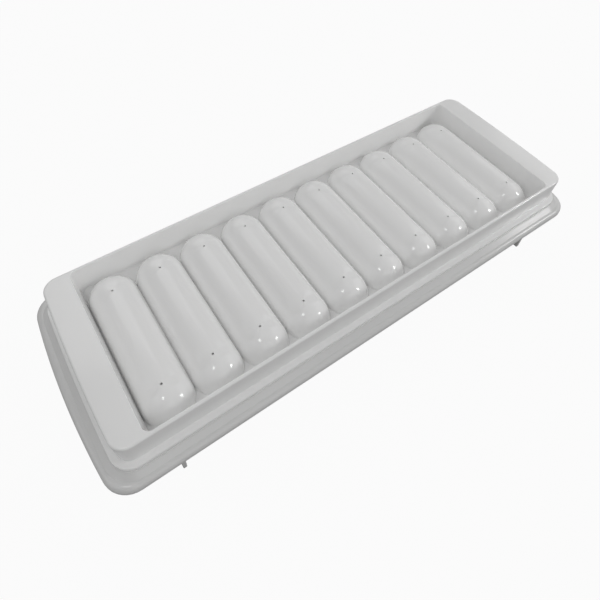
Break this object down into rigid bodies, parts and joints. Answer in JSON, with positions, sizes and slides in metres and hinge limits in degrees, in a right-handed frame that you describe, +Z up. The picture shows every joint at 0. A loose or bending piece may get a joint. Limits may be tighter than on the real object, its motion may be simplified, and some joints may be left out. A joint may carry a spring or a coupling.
{
  "type": "ice stick tray",
  "caption": "Two-part white plastic mould for round ice sticks: a domed upper mould with a filling basin lifts off a troughed lower mould on four legs.",
  "frame": {"origin": "on the table, under the middle of the tray", "axes": "+X along the tray, across the ten sticks; +Y along the sticks, to the back; +Z up"},
  "size_m": [0.2658, 0.0972, 0.0415],
  "materials": {
    "white_plastic": "satin white polypropylene, slightly translucent"
  },
  "bodies": {
    "lower": {"lower_mould": "white_plastic"},
    "upper": {"upper_mould": "white_plastic"}
  },
  "joints": [
    {"name": "upper_mould_lift", "type": "slide", "parent": "lower", "child": "upper", "axis": [0, 0, 1], "range_m": [0, 0.05]}
  ]
}
